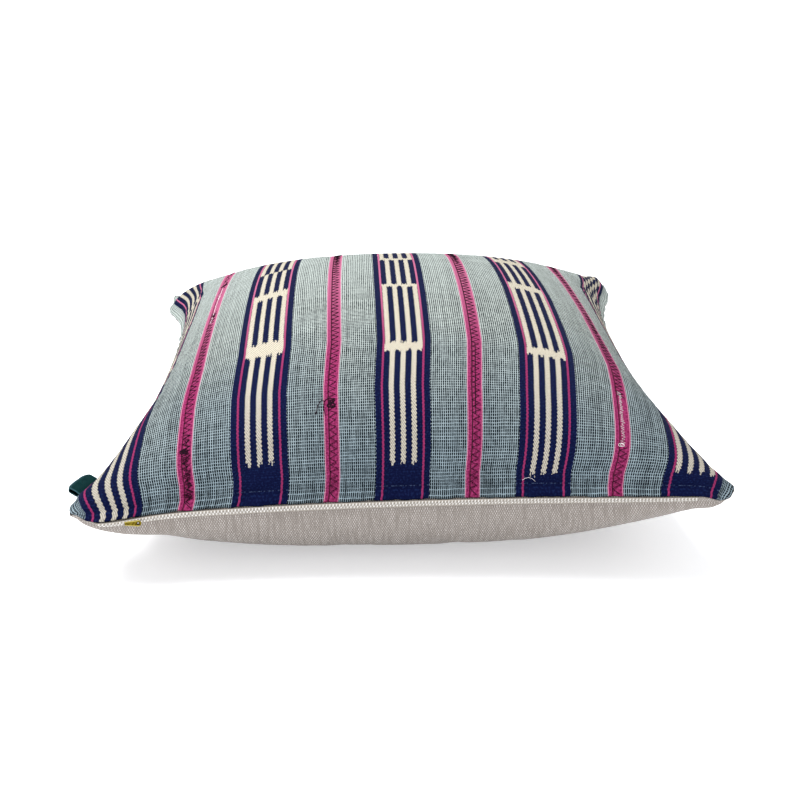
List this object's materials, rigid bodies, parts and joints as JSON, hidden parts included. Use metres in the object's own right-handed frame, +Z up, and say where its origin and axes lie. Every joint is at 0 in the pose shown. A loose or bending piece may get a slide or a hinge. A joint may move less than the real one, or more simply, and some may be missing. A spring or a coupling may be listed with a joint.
{
  "type": "scatter cushion",
  "caption": "Square filled scatter cushion lying on its back, with a strip-woven ikat front, plain back, zipped near seam and side label.",
  "frame": {"origin": "middle of the flat patch of the back panel that rests on the surface", "axes": "+X across the woven strips to the right, +Y along the strips from the zipped near seam to the far seam, +Z up out of the resting patch towards the crown"},
  "size_m": [0.4316, 0.4148, 0.1504],
  "materials": {
    "strip_cloth": "matt strip-woven cotton, sage and blue open weave with navy, cream and pink ikat bands",
    "canvas": "matt oatmeal cotton canvas with a fine rib",
    "brass": "worn polished brass",
    "label_ribbon": "smooth woven ribbon, dark green, blank"
  },
  "bodies": {
    "root": {"cushion": "strip_cloth", "zip_placket": "canvas", "zip_pull": "brass", "label": "label_ribbon"}
  },
  "joints": []
}
